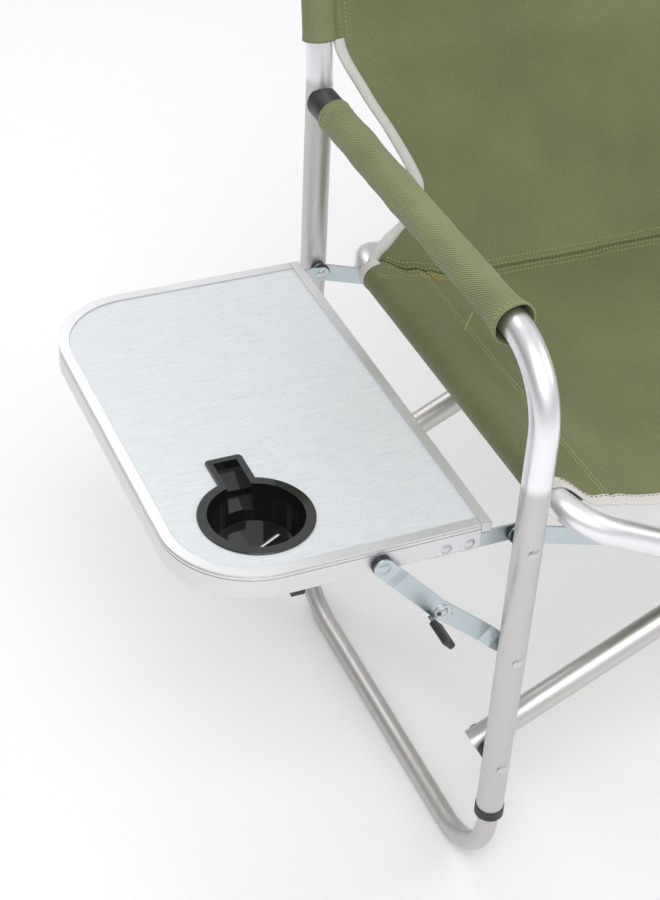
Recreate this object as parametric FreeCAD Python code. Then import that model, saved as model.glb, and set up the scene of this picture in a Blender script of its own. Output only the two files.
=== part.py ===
import FreeCAD, Part

import math
import os

from FreeCAD import Vector

os.makedirs("parts", exist_ok=True)

# Folding director chair with a drop-leaf side table.
# Working frame, in mm: X to the right as seen from the front, Y from front to back, Z up from the floor.
# X = 0 and Y = 0 is the axis of the left front leg. When everything is made, the chair is shifted so that
# the middle of its box, at floor level, is the origin.

# ---- driving dimensions: frame ----
FRAME_SPAN = 556.0        # left leg axis to right leg axis, chair open
TUBE_R = 12.5             # legs, arms, posts and cross legs
TUBE_WALL = 1.5
SKID_R = 9.5              # floor tubes
SKID_WALL = 1.2
SKID_BEND_FRONT = 75.0
SKID_BEND_REAR = 90.0
ARM_Z = 587.0             # axis of the armrest tube
ARM_BEND = 65.0
LEG_END_Z = 105.0         # lower end of the leg tubes
SKID_END_Z = 140.0        # upper end of the floor tube inside the leg
POST_LEAN = 2.05          # degrees, from the table's height to the arm; upright below
POST_KINK_Z = 612.0
POST_TOP_LEAN = 12.0      # degrees, above the arm
POST_TOP_Z = 806.0

# ---- driving dimensions: cross legs ----
PIVOT_Z = 160.0           # lower pivots of the cross legs
RAIL_X = 40.0             # seat rail axis from its own side frame
RAIL_Z = 424.0
RAIL_BEND = 45.0
LEG_A_FRONT_Y = 30.6      # inner cross leg planes
LEG_A_REAR_Y = 409.5
LEG_B_FRONT_Y = 0.0       # outer cross leg planes, above the crossing
LEG_B_REAR_Y = 449.0
LEG_TAIL = 9.0            # tube beyond the lower pivot
JOGGLE_START = 132.0      # the outer cross leg moves inwards between these distances from its lower pivot
JOGGLE_FRONT_END = 202.0
JOGGLE_REAR_END = 212.0
JOGGLE_BEND = 80.0

# ---- driving dimensions: side table ----
TABLE_Z = 429.0           # top of the rim lip
TABLE_IN_X = -24.45
TABLE_W = 257.0
TABLE_FRONT_Y = 18.86
TABLE_REAR_Y = 432.25
TABLE_CORNER_R = 76.0
RIM_H = 23.3
RIM_LIP = 9.35
RIM_T = 1.6
PANEL_T = 8.0
HINGE_Z = 411.1           # table hinge and seat link bolts
HINGE_STRAP_END = -76.0
RIVET_XS = (-43.2, -64.0) # rivets through the rim and the hinge strap
RIVET_HEAD_R = 4.9

# ---- driving dimensions: table brace ----
BRACE_LEG_Z = 290.0       # lower pivot, on the leg
BRACE_ELBOW = (-64.3, 347.8)
BRACE_TABLE = (-122.0, 413.0)
UPPER_Y = 14.0            # front face of the upper strap
UPPER_TABLE_Y = 12.2      # the same, beside the table
LOWER_LEG_Y = 13.2        # front face of the lower strap beside the leg
TAB_DROP = 10.5           # release tab from the elbow, square to the upper strap
TAB_REACH = 31.0
TAB_WIDTH = 10.0
GRIP_WALL = 2.0
GRIP_T = 6.4

# ---- driving dimensions: cup holder ----
CUP_X = -200.0
CUP_Y = 91.5
CUP_FLANGE_R = 48.3
CUP_R = 40.3
CUP_FLOOR_R = 33.5
CUP_DEPTH = 35.0
CUP_WALL = 2.0
CUP_FLANGE_T = 1.55
DRAIN = (3.2, 24.0)       # drain slit in the floor
PAD_SIZE = (12.0, 16.0, 24.0)
PAD_X = -196.0            # black pad under the table
HANDLE_W = 33.0           # outer width of the mug handle slot
HANDLE_REACH = 79.0       # from the cup axis to the slot's outer end

# ---- fasteners and small fits ----
BOLT_R = 3.0
RUN = 0.06                # radial running clearance
STRAP_T = 2.0
STRAP_W = 17.0
SLEEVE_T = 1.6            # fabric sleeves around tubes
SOFT_GAP = 0.35

# ---- driving dimensions: fabric ----
ARM_SLEEVE_FRONT = 63.0
ARM_SLEEVE_REAR = 30.0    # clear of the rear post
SEAT_FRONT_Y = 8.0
SEAT_REAR_Y = 372.0
SEAT_SAG = 15.0
SEAT_EDGE_X = 60.0
SHEET_T = 2.4
SLEEVE_CLEAR = 3.0        # sleeve ends from the bends of the seat rails
BACK_LOW_Z = POST_KINK_Z + 32.0
BACK_HIGH_Z = 790.0
SKIRT_X = 75.0            # side edge of the back's lower part

X, Y, Z = Vector(1, 0, 0), Vector(0, 1, 0), Vector(0, 0, 1)
MID_Y = (TABLE_FRONT_Y + TABLE_REAR_Y) / 2
POST_Y = 2 * MID_Y        # rear post axis, up to the table

RISE = RAIL_Z - PIVOT_Z
REACH = FRAME_SPAN - RAIL_X
LEG_LEN = math.hypot(RISE, REACH)
LEG_UP = Vector(REACH / LEG_LEN, 0, RISE / LEG_LEN)
CENTRE_Z = PIVOT_Z + RISE * (FRAME_SPAN / 2) / REACH
LINK_PIN_X = 172.0        # where a seat link meets the far cross leg, from its own side frame
LINK_PIN_Z = PIVOT_Z + RISE * (FRAME_SPAN - LINK_PIN_X) / REACH


def post_y(z):
    """Y of the rear post's axis at height z."""
    low = POST_Y + max(0.0, min(z, POST_KINK_Z) - TABLE_Z) * math.tan(math.radians(POST_LEAN))
    return low + max(0.0, z - POST_KINK_Z) * math.tan(math.radians(POST_TOP_LEAN))


made = {}


# ---------------------------------------------------------------- helpers
def save(name, *solids):
    """Keeps the solids as one node, to be exported when the chair is complete."""
    shape = solids[0] if len(solids) == 1 else Part.makeCompound(list(solids))
    assert shape.isValid() and len(shape.Solids) == len(solids), name
    made[name] = shape


def mirrored(shape):
    """The same piece on the right side frame."""
    return shape.mirror(Vector(FRAME_SPAN / 2, 0, 0), X)


def rounded_wire(points, radii):
    """A wire through points, with tangent arcs of the given radii at the inner points."""
    edges = []
    start = points[0]
    for before, corner, after, radius in zip(points, points[1:], points[2:], radii):
        a = (before - corner).normalize()
        b = (after - corner).normalize()
        turn = math.pi - a.getAngle(b)
        cut = radius * math.tan(turn / 2)
        p, q = corner + a * cut, corner + b * cut
        bisector = (a + b).normalize()
        centre = corner + bisector * (radius / math.cos(turn / 2))
        middle = centre - bisector * radius
        edges.append(Part.LineSegment(start, p).toShape())
        edges.append(Part.Arc(p, middle, q).toShape())
        start = q
    edges.append(Part.LineSegment(start, points[-1]).toShape())
    return Part.Wire(edges)


def rod(points, radii, radius):
    wire = rounded_wire(points, radii)
    way = points[1] - points[0]
    section = Part.Wire([Part.makeCircle(radius, points[0], way)])
    return wire.makePipeShell([section], True, False)


def tube(points, radii, radius, wall):
    return rod(points, radii, radius).cut(rod(points, radii, radius - wall))


def cyl_y(x, z, y0, y1, radius):
    return Part.makeCylinder(radius, y1 - y0, Vector(x, y0, z), Y)


def drill_y(shape, x, z, radius, y0=-100.0, y1=600.0):
    return shape.cut(cyl_y(x, z, y0, y1, radius))


def ring_y(x, z, y0, y1, r_out, r_in):
    return cyl_y(x, z, y0, y1, r_out).cut(cyl_y(x, z, y0 - 1, y1 + 1, r_in))


def dome(x, y, z, radius, height, way):
    """A low domed rivet head standing on y, towards way (+1 or -1)."""
    foot, edge, tip = Vector(x, y, z), Vector(x + radius, y, z), Vector(x, y + way * height, z)
    sphere_r = (radius ** 2 + height ** 2) / (2 * height)
    half = math.asin(radius / sphere_r) / 2
    shoulder = Vector(x + sphere_r * math.sin(half),
                      y + way * (height - sphere_r * (1 - math.cos(half))), z)
    outline = [Part.LineSegment(foot, edge).toShape(), Part.Arc(edge, shoulder, tip).toShape(),
               Part.LineSegment(tip, foot).toShape()]
    head = Part.Face(Part.Wire(outline)).revolve(foot, Y, 360)
    return Part.Solid(Part.Shell(head.Faces)) if head.ShapeType != "Solid" else head


def rivet_y(x, z, y0, y1, head_r=5.5, head_h=1.8, shank=BOLT_R):
    """A rivet along Y whose heads stand on y0 and y1."""
    body = cyl_y(x, z, y0, y1, shank)
    for y, way in ((y0, -1), (y1, 1)):
        body = body.fuse(dome(x, y, z, head_r, head_h, way))
    return body


def strap(start, end, y_from, width=STRAP_W, holes=()):
    """A flat bar from start to end (x, z) with round ends, cut from a side outline.
    y_from is a list of (share of the length, y of the front face)."""
    a, b = Vector(start[0], 0, start[1]), Vector(end[0], 0, end[1])
    way = (b - a).normalize()
    length = (b - a).Length
    across = Y.cross(way)
    reach = [(s * length, y) for s, y in y_from]
    reach[0] = (-width, reach[0][1])
    reach[-1] = (length + width, reach[-1][1])
    front = [a + way * s + Y * y for s, y in reach]
    back = [p + Y * STRAP_T for p in reversed(front)]
    ring = front + back
    ring.append(ring[0])
    side = Part.Face(Part.makePolygon([p - across * width for p in ring]))
    bar = side.extrude(across * (2 * width))
    y_low = min(y for _, y in y_from) - 1
    y_high = max(y for _, y in y_from) + STRAP_T + 1
    depth = y_high - y_low
    outline = Part.makeCylinder(width / 2, depth, a + Y * y_low, Y)
    outline = outline.fuse(Part.makeCylinder(width / 2, depth, b + Y * y_low, Y))
    corner = a - across * (width / 2) + Y * y_low
    base = Part.makePolygon([corner, corner + way * length, corner + way * length + across * width,
                             corner + across * width, corner])
    outline = outline.fuse(Part.Face(base).extrude(Y * depth))
    bar = bar.common(outline)
    for (x, z), radius in holes:
        bar = drill_y(bar, x, z, radius)
    return bar.removeSplitter()


def flip_y(y):
    """The place on the rear that answers a place on the front."""
    return 2 * MID_Y - y


def flip(shape):
    return shape.mirror(Vector(0, MID_Y, 0), Y)


# ---------------------------------------------------------------- stacks along the bolts
LINK_Y = (15.8, 15.8 + STRAP_T)
TABLE_STRAP_Y = TABLE_FRONT_Y + RIM_T + 0.02
TABLE_STRAP_END = TABLE_STRAP_Y + STRAP_T
LINK_END = (LINK_PIN_X, LINK_PIN_Z)
LEG_A_HOLE = BOLT_R + RUN
LOWER_Y = UPPER_Y + STRAP_T + 0.1


# ---------------------------------------------------------------- side frames
def front_leg():
    points = [Vector(0, 0, LEG_END_Z), Vector(0, 0, ARM_Z), Vector(0, post_y(ARM_Z) - TUBE_R - 3.0, ARM_Z)]
    body = tube(points, [ARM_BEND], TUBE_R, TUBE_WALL)
    for z in (PIVOT_Z, BRACE_LEG_Z, HINGE_Z):
        body = drill_y(body, 0, z, BOLT_R, y1=50.0)
    return body


def rear_post():
    points = [Vector(0, post_y(z), z) for z in (LEG_END_Z, TABLE_Z, POST_KINK_Z, POST_TOP_Z)]
    body = tube(points, [800.0, 250.0], TUBE_R, TUBE_WALL)
    for z in (PIVOT_Z, BRACE_LEG_Z, HINGE_Z, ARM_Z):
        body = drill_y(body, 0, z, BOLT_R)
    return body


def skid():
    points = [Vector(0, 0, SKID_END_Z), Vector(0, 0, SKID_R), Vector(0, post_y(SKID_R), SKID_R),
              Vector(0, post_y(SKID_END_Z), SKID_END_Z)]
    return tube(points, [SKID_BEND_FRONT, SKID_BEND_REAR], SKID_R, SKID_WALL)


def collars():
    """Reducing collars between the floor tube and the leg tubes."""
    rings = []
    for y in (0.0, post_y(LEG_END_Z)):
        z0 = LEG_END_Z - 10.0
        lip = Part.makeCylinder(TUBE_R + 0.8, 10.0, Vector(0, y, z0))
        plug = Part.makeCylinder(TUBE_R - TUBE_WALL - 0.35, 14.0, Vector(0, y, LEG_END_Z - 0.5))
        bore = Part.makeCylinder(SKID_R + 0.45, 60.0, Vector(0, y, z0 - 10))
        rings.append(lip.fuse(plug).cut(bore))
    return rings


def post_cap():
    lean = math.radians(POST_TOP_LEAN)
    way = Vector(0, math.sin(lean), math.cos(lean))
    top = Vector(0, post_y(POST_TOP_Z), POST_TOP_Z)
    disc = Part.makeCylinder(TUBE_R, 3.0, top, way)
    disc = disc.makeFillet(1.2, [e for e in disc.Edges if e.Curve.TypeId.endswith("Circle")][:1])
    plug = Part.makeCylinder(TUBE_R - TUBE_WALL - 0.1, 12.0, top - way * 12.0, way)
    return disc.fuse(plug)


def arm_saddle():
    """The moulded end that holds the arm tube against the rear post."""
    y1 = post_y(ARM_Z)
    block = cyl_y(0, ARM_Z, y1 - TUBE_R - 26.0, y1 - TUBE_R + 5.0, TUBE_R + 2.6)
    tube_bore = cyl_y(0, ARM_Z, y1 - TUBE_R - 40.0, y1 - TUBE_R - 2.9, TUBE_R + 0.1)
    lean = math.radians(POST_LEAN)
    way = Vector(0, math.sin(lean), math.cos(lean))
    post = Part.makeCylinder(TUBE_R + 0.1, 60.0, Vector(0, y1, ARM_Z) - way * 30, way)
    return block.cut(tube_bore).cut(post).cut(cyl_y(0, ARM_Z, y1 - 60, y1, BOLT_R))


def arm_rivet():
    y1 = post_y(ARM_Z)
    return rivet_y(0, ARM_Z, y1 - TUBE_R - 3.0 + 0.1, y1 + TUBE_R, 5.5, 2.0, BOLT_R - 0.05)


def arm_sleeve():
    """Loose fabric tube on the armrest."""
    rear = post_y(ARM_Z) - TUBE_R - ARM_SLEEVE_REAR
    inner = TUBE_R + SOFT_GAP
    return ring_y(0, ARM_Z, ARM_SLEEVE_FRONT, rear, inner + SLEEVE_T, inner)


def frame_bolts(with_table):
    """Bolts along Y through the leg and the post: seat link, table brace and cross leg pivots."""
    hinge_end = TABLE_STRAP_END + 0.1 if with_table else LINK_Y[1] + 4.0
    front = [rivet_y(0, HINGE_Z, -TUBE_R, hinge_end)]
    if with_table:
        front.append(rivet_y(0, BRACE_LEG_Z, -TUBE_R, LOWER_LEG_Y + STRAP_T + 0.1, 5.5, 1.6))
    return front + [flip(bolt) for bolt in front] + [
        rivet_y(0, PIVOT_Z, -TUBE_R, LEG_A_FRONT_Y + TUBE_R + 0.2),
        rivet_y(0, PIVOT_Z, LEG_A_REAR_Y - TUBE_R - 0.2, POST_Y + TUBE_R)]


def frame_washers(with_table):
    """Black washers that keep the links, the table straps and the cross legs apart."""
    bore = BOLT_R + 0.02
    front = [ring_y(0, HINGE_Z, TUBE_R + 0.05, LINK_Y[0] - 0.1, 8.6, bore)]
    if with_table:
        front.append(ring_y(0, HINGE_Z, LINK_Y[1] + 0.1, TABLE_STRAP_Y - 0.1, 9.2, bore))
    return front + [flip(ring) for ring in front] + [
        ring_y(0, PIVOT_Z, TUBE_R + 0.05, LEG_A_FRONT_Y - TUBE_R - 0.1, 8.6, bore),
        ring_y(0, PIVOT_Z, LEG_A_REAR_Y + TUBE_R + 0.1, POST_Y - TUBE_R - 0.05, 8.6, bore)]


for side in ("left_", "right_"):
    has_table = side == "left_"
    frame_pieces = {
        "front_leg_and_arm": [front_leg()], "rear_post": [rear_post()], "floor_tube": [skid()],
        "leg_collars": collars(), "post_cap": [post_cap()], "arm_saddle": [arm_saddle()],
        "arm_rivet": [arm_rivet()], "arm_sleeve": [arm_sleeve()],
        "frame_bolts": frame_bolts(has_table), "frame_washers": frame_washers(has_table)}
    for piece, solids in frame_pieces.items():
        save(side + piece, *(solids if has_table else [mirrored(solid) for solid in solids]))


# ---------------------------------------------------------------- cross legs
def leg_point(distance, y):
    """A point on the axis of the cross leg that starts at the left side frame."""
    return Vector(0, y, PIVOT_Z) + LEG_UP * distance


def cross_leg_inner():
    """Rises from the left side frame to the right seat rail."""
    points = [leg_point(-LEG_TAIL, LEG_A_FRONT_Y), leg_point(LEG_LEN, LEG_A_FRONT_Y),
              leg_point(LEG_LEN, LEG_A_REAR_Y), leg_point(-LEG_TAIL, LEG_A_REAR_Y)]
    body = tube(points, [RAIL_BEND, RAIL_BEND], TUBE_R, TUBE_WALL)
    body = drill_y(body, 0, PIVOT_Z, LEG_A_HOLE)
    return drill_y(body, FRAME_SPAN / 2, CENTRE_Z, BOLT_R)


def cross_leg_outer():
    """Rises from the right side frame to the left seat rail, and joggles outwards below the crossing."""
    points = [leg_point(-LEG_TAIL, LEG_A_FRONT_Y), leg_point(JOGGLE_START, LEG_A_FRONT_Y),
              leg_point(JOGGLE_FRONT_END, LEG_B_FRONT_Y), leg_point(LEG_LEN, LEG_B_FRONT_Y),
              leg_point(LEG_LEN, LEG_B_REAR_Y), leg_point(JOGGLE_REAR_END, LEG_B_REAR_Y),
              leg_point(JOGGLE_START, LEG_A_REAR_Y), leg_point(-LEG_TAIL, LEG_A_REAR_Y)]
    bends = [JOGGLE_BEND, JOGGLE_BEND, RAIL_BEND, RAIL_BEND, JOGGLE_BEND, JOGGLE_BEND]
    body = mirrored(tube(points, bends, TUBE_R, TUBE_WALL))
    body = drill_y(body, FRAME_SPAN, PIVOT_Z, LEG_A_HOLE)
    return drill_y(body, FRAME_SPAN / 2, CENTRE_Z, LEG_A_HOLE)


def centre_bolts():
    x = FRAME_SPAN / 2
    return [rivet_y(x, CENTRE_Z, LEG_B_FRONT_Y - TUBE_R - 0.2, LEG_A_FRONT_Y + TUBE_R),
            rivet_y(x, CENTRE_Z, LEG_A_REAR_Y - TUBE_R, LEG_B_REAR_Y + TUBE_R + 0.2)]


def centre_spacers():
    x = FRAME_SPAN / 2
    bore = BOLT_R + 0.02
    return [ring_y(x, CENTRE_Z, LEG_B_FRONT_Y + TUBE_R + 0.15, LEG_A_FRONT_Y - TUBE_R - 0.02, 8.0, bore),
            ring_y(x, CENTRE_Z, LEG_A_REAR_Y + TUBE_R + 0.02, LEG_B_REAR_Y - TUBE_R - 0.15, 8.0, bore)]


def link_head(x, y, way):
    return dome(x, y + way * 0.02, LINK_PIN_Z, 5.5, 1.8, way)


save("inner_cross_leg", cross_leg_inner())
save("outer_cross_leg", cross_leg_outer())
save("centre_pivot_bolts", *centre_bolts())
save("centre_pivot_spacers", *centre_spacers())
save("outer_leg_link_rivets", link_head(LINK_PIN_X, LEG_B_FRONT_Y - TUBE_R, -1),
     link_head(LINK_PIN_X, LEG_B_REAR_Y + TUBE_R, 1))
save("inner_leg_link_rivets", link_head(FRAME_SPAN - LINK_PIN_X, LEG_A_FRONT_Y + TUBE_R, 1),
     link_head(FRAME_SPAN - LINK_PIN_X, LEG_A_REAR_Y - TUBE_R, -1))


# ---------------------------------------------------------------- seat links
def seat_link(head):
    """Front steel link from the leg bolt to the far cross leg. Its rivet head faces forwards for head -1,
    backwards for head 1, and stands free of the cross leg."""
    bar = strap((0, HINGE_Z), LINK_END, [(0, LINK_Y[0]), (1, LINK_Y[0])],
                holes=[((0, HINGE_Z), BOLT_R + RUN)])
    return bar.fuse(dome(LINK_END[0], LINK_Y[1] if head > 0 else LINK_Y[0], LINK_END[1], 5.5, 1.8, head))


right_link = mirrored(seat_link(-1))
save("left_front_seat_link", seat_link(1))
save("left_rear_seat_link", flip(seat_link(1)))
save("right_front_seat_link", right_link)
save("right_rear_seat_link", flip(right_link))


# ---------------------------------------------------------------- side table
def table_outline(inset, z, height, close_x):
    """A solid D-shaped slab: two big rounded corners on the outside, a straight side at close_x."""
    x0 = TABLE_IN_X - TABLE_W + inset
    y0, y1 = TABLE_FRONT_Y + inset, TABLE_REAR_Y - inset
    radius = TABLE_CORNER_R - inset
    points = [Vector(close_x, y0, z), Vector(x0, y0, z), Vector(x0, y1, z), Vector(close_x, y1, z)]
    wire = rounded_wire(points, [radius, radius])
    closing = Part.LineSegment(points[-1], points[0]).toShape()
    return Part.Face(Part.Wire(wire.Edges + [closing])).extrude(Z * height)


def table_rim():
    """Bent aluminium edge with a flat lip over the panel and two shallow grooves along its shoulder."""
    end = TABLE_IN_X - RIM_LIP
    z0 = TABLE_Z - RIM_H
    wall = table_outline(0, z0, RIM_H, end).cut(table_outline(RIM_T, z0 - 1, RIM_H + 2, end + 5))
    lip = table_outline(0.5, TABLE_Z - RIM_T, RIM_T, end)
    lip = lip.cut(table_outline(RIM_LIP, TABLE_Z - 5, 10, end + 5))
    shelf_z = TABLE_Z - RIM_T - PANEL_T - RIM_T
    shelf = table_outline(0.5, shelf_z, RIM_T, end).cut(table_outline(RIM_LIP + 2, shelf_z - 1, 4, end + 5))
    body = wall.fuse(lip).fuse(shelf)
    for drop, depth in ((1.9, 0.7), (5.3, 0.9)):
        groove = table_outline(-1, TABLE_Z - drop - 0.5, 1.0, end + 1)
        body = body.cut(groove.cut(table_outline(depth, TABLE_Z - drop - 1, 2.5, end + 2)))
    for x in RIVET_XS:
        body = drill_y(body, x, HINGE_Z, BOLT_R)
    return drill_y(body, BRACE_TABLE[0], BRACE_TABLE[1], BOLT_R)


def table_side_rail():
    """Straight aluminium edge on the chair side, butted between the rim's ends."""
    x1 = TABLE_IN_X
    y0, y1 = TABLE_FRONT_Y, TABLE_REAR_Y
    length = y1 - y0
    wall = Part.makeBox(RIM_T, length, RIM_H, Vector(x1 - RIM_T, y0, TABLE_Z - RIM_H))
    lip = Part.makeBox(RIM_LIP - 0.3, length, RIM_T, Vector(x1 - RIM_LIP + 0.3, y0, TABLE_Z - RIM_T))
    shelf_z = TABLE_Z - RIM_T - PANEL_T - RIM_T
    shelf = Part.makeBox(RIM_LIP - 0.3, length, RIM_T, Vector(x1 - RIM_LIP + 0.3, y0, shelf_z))
    ends = [Part.makeBox(RIM_LIP - 0.3, RIM_T, 9.0, Vector(x1 - RIM_LIP + 0.3, y, TABLE_Z - 9.0))
            for y in (y0, y1 - RIM_T)]
    body = wall.fuse([lip, shelf] + ends)
    for drop in (1.9, 5.3):
        body = body.cut(Part.makeBox(2.0, length, 1.0, Vector(x1 - 0.8, y0, TABLE_Z - drop - 0.5)))
    z0 = TABLE_Z - RIM_H - 1
    notch = Part.makeBox(3 * RIM_LIP, TABLE_STRAP_END + 0.4 - y0 + 1, HINGE_Z + 8.1 - z0,
                         Vector(x1 - 2 * RIM_LIP, y0 - 1, z0))
    return body.cut(notch).cut(flip(notch))


def cup_outline(radius, half_width, reach, z, height):
    disc = Part.makeCylinder(radius, height, Vector(CUP_X, CUP_Y, z))
    slot = Part.makeBox(2 * half_width, reach, height, Vector(CUP_X - half_width, CUP_Y, z))
    upright = [e for e in slot.Edges if abs(e.tangentAt(e.FirstParameter).z) > 0.9
               and e.CenterOfMass.y > CUP_Y + reach - 1]
    slot = slot.makeFillet(4.0, upright)
    return disc.fuse(slot).removeSplitter()


def table_panel():
    z0 = TABLE_Z - RIM_T - PANEL_T
    slab = table_outline(RIM_T + 0.1, z0 + 0.05, PANEL_T - 0.1, TABLE_IN_X - RIM_T - 0.1)
    return slab.cut(cup_outline(CUP_R + CUP_WALL + 0.4, HANDLE_W / 2 - 2.6, HANDLE_REACH - 2.6,
                                z0 - 1, PANEL_T + 4))


def cup_holder():
    """Moulded cup well with a rim flange and a slot for a mug's handle."""
    top = TABLE_Z - RIM_T + 0.02
    flange = cup_outline(CUP_FLANGE_R, HANDLE_W / 2, HANDLE_REACH, top, CUP_FLANGE_T)
    rim_edges = [e for e in flange.Edges if e.CenterOfMass.z > top + CUP_FLANGE_T - 0.1]
    flange = flange.makeFillet(0.8, rim_edges)
    z_low = top - CUP_DEPTH
    shell = Part.makeCone(CUP_FLOOR_R + CUP_WALL, CUP_R + CUP_WALL, CUP_DEPTH, Vector(CUP_X, CUP_Y, z_low))
    well = Part.makeCone(CUP_FLOOR_R, CUP_R, CUP_DEPTH + 3 - CUP_WALL, Vector(CUP_X, CUP_Y, z_low + CUP_WALL))
    slot_x = HANDLE_W / 2 - 6.0
    slot_y = HANDLE_REACH - 6.0
    trough_shell = ramp(slot_x + CUP_WALL, slot_y + CUP_WALL, top, CUP_WALL)
    trough = ramp(slot_x, slot_y, top + 3, 0.0)
    body = flange.fuse([shell, trough_shell]).cut(well).cut(trough)
    drain = Part.makeBox(DRAIN[0], DRAIN[1], 10.0, Vector(-DRAIN[0] / 2, -DRAIN[1] / 2, -5.0))
    drain.rotate(Vector(0, 0, 0), Z, -63.0)
    drain.translate(Vector(CUP_X + 14.0, CUP_Y + 4.0, z_low + 1))
    return body.cut(drain)


def ramp(half_width, reach, top, below):
    """The handle slot's space: shallow at its outer end, stepping down into the cup."""
    profile = [(reach, top), (reach, TABLE_Z - 9.0 - below), (52.0, TABLE_Z - 15.0 - below),
               (50.0, TABLE_Z - 21.0 - below), (20.0, TABLE_Z - 26.0 - below), (20.0, top)]
    points = [Vector(CUP_X - half_width, CUP_Y + y, z) for y, z in profile]
    points.append(points[0])
    return Part.Face(Part.makePolygon(points)).extrude(X * (2 * half_width))


def table_strap():
    """Hinge strap inside the rim's front wall."""
    bar = strap((0, HINGE_Z), (HINGE_STRAP_END, HINGE_Z), [(0, TABLE_STRAP_Y), (1, TABLE_STRAP_Y)],
                width=15.6, holes=[((0, HINGE_Z), BOLT_R + RUN)] + [((x, HINGE_Z), BOLT_R) for x in RIVET_XS])
    shelf_low = TABLE_Z - RIM_T * 2 - PANEL_T - 0.1
    return bar.cut(Part.makeBox(80, 30, 40, Vector(TABLE_IN_X - RIM_LIP - 79.7, 0, shelf_low)))


def table_rivets():
    """Four rivets through the rim and the straps."""
    front = [rivet_y(x, HINGE_Z, TABLE_FRONT_Y, TABLE_STRAP_END, RIVET_HEAD_R, 1.5) for x in RIVET_XS]
    return front + [flip(r) for r in front]


def brace_studs():
    """Closed rivets in the rim walls, flush outside, where the braces meet the table."""
    x, z = BRACE_TABLE
    stud = cyl_y(x, z, TABLE_FRONT_Y, TABLE_FRONT_Y + RIM_T, BOLT_R - 0.02)
    stud = stud.fuse(dome(x, TABLE_FRONT_Y + RIM_T, z, 4.4, 1.5, 1))
    return [stud, flip(stud)]


def stop_pad():
    """Black pad screwed under the front of the table."""
    top = TABLE_Z - 2 * RIM_T - PANEL_T - 0.05
    pad = Part.makeBox(*PAD_SIZE, Vector(PAD_X, TABLE_FRONT_Y + RIM_T + 4.0, top - PAD_SIZE[2]))
    low_edges = [e for e in pad.Edges if e.CenterOfMass.z < top - PAD_SIZE[2] + 0.1]
    return pad.makeFillet(3.0, low_edges)


# ---------------------------------------------------------------- table brace
def lower_brace():
    """Lower strap: beside the leg at one end, behind the upper strap at the elbow."""
    a, b = (0, BRACE_LEG_Z), BRACE_ELBOW
    return strap(a, b, [(0, LOWER_LEG_Y), (0.16, LOWER_LEG_Y), (0.30, LOWER_Y), (1, LOWER_Y)],
                 holes=[(a, BOLT_R + RUN), (b, BOLT_R)])


def elbow_rivet():
    """A stepped head in front, a flat one behind."""
    x, z = BRACE_ELBOW
    body = cyl_y(x, z, UPPER_Y - 0.1, LOWER_Y + STRAP_T, BOLT_R)
    body = body.fuse(cyl_y(x, z, UPPER_Y - 0.8, UPPER_Y - 0.1, 7.2))
    body = body.fuse(dome(x, UPPER_Y - 0.8, z, 5.4, 2.4, -1))
    return body.fuse(dome(x, LOWER_Y + STRAP_T, z, 5.0, 0.5, 1))


def brace_way():
    """Along the upper strap, from the elbow to the table, and square to it, away from the chair."""
    way = Vector(BRACE_TABLE[0] - BRACE_ELBOW[0], 0, BRACE_TABLE[1] - BRACE_ELBOW[1]).normalize()
    return way, way.cross(Y)


def along_brace(box):
    """Turns a box from its own axes (X along the strap, Z away from the chair) to the elbow."""
    way, out = brace_way()
    turn = FreeCAD.Matrix(way.x, 0, out.x, BRACE_ELBOW[0], 0, 1, 0, 0, way.z, 0, out.z, BRACE_ELBOW[1],
                          0, 0, 0, 1)
    return box.transformGeometry(turn)


def tab_plate():
    """The release tab: a neck out of the strap's elbow end, then a blade bent forwards."""
    neck = Part.makeBox(TAB_WIDTH, STRAP_T, TAB_DROP + STRAP_T / 2, Vector(-TAB_WIDTH / 2, UPPER_Y, 0))
    neck = neck.cut(cyl_y(0, 0, 0, 40, STRAP_W / 2 - 1.0))
    tip = Vector(-TAB_WIDTH / 2, UPPER_Y - TAB_REACH + STRAP_T, TAB_DROP - STRAP_T / 2)
    blade = Part.makeBox(TAB_WIDTH, TAB_REACH, STRAP_T, tip)
    return along_brace(neck.fuse(blade))


def upper_brace():
    """Upper strap, with the release tab at the elbow and its own rivet head at the table."""
    a, b = BRACE_ELBOW, BRACE_TABLE
    bar = strap(a, b, [(0, UPPER_Y), (0.70, UPPER_Y), (0.84, UPPER_TABLE_Y), (1, UPPER_TABLE_Y)],
                holes=[(a, BOLT_R + RUN)])
    bar = bar.fuse(dome(b[0], UPPER_TABLE_Y, b[1], 6.0, 1.8, -1))
    return bar.fuse(tab_plate())


def brace_washer():
    """Black washer behind the upper strap, running against the rim's wall."""
    x, z = BRACE_TABLE
    return cyl_y(x, z, UPPER_TABLE_Y + STRAP_T + 0.02, TABLE_FRONT_Y - 0.35, 8.8)


def grip():
    """Black moulded thumb grip pushed over the release tab."""
    y0 = UPPER_Y - TAB_REACH + STRAP_T - 3.0
    length = TAB_REACH - 5.0
    corner = Vector(-TAB_WIDTH / 2 - GRIP_WALL, y0, TAB_DROP - GRIP_T / 2)
    body = Part.makeBox(TAB_WIDTH + 2 * GRIP_WALL, length, GRIP_T, corner)
    body = body.makeFillet(2.2, [e for e in body.Edges if e.CenterOfMass.y < y0 + length - 1.0])
    return along_brace(body).cut(tab_plate())


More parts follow.
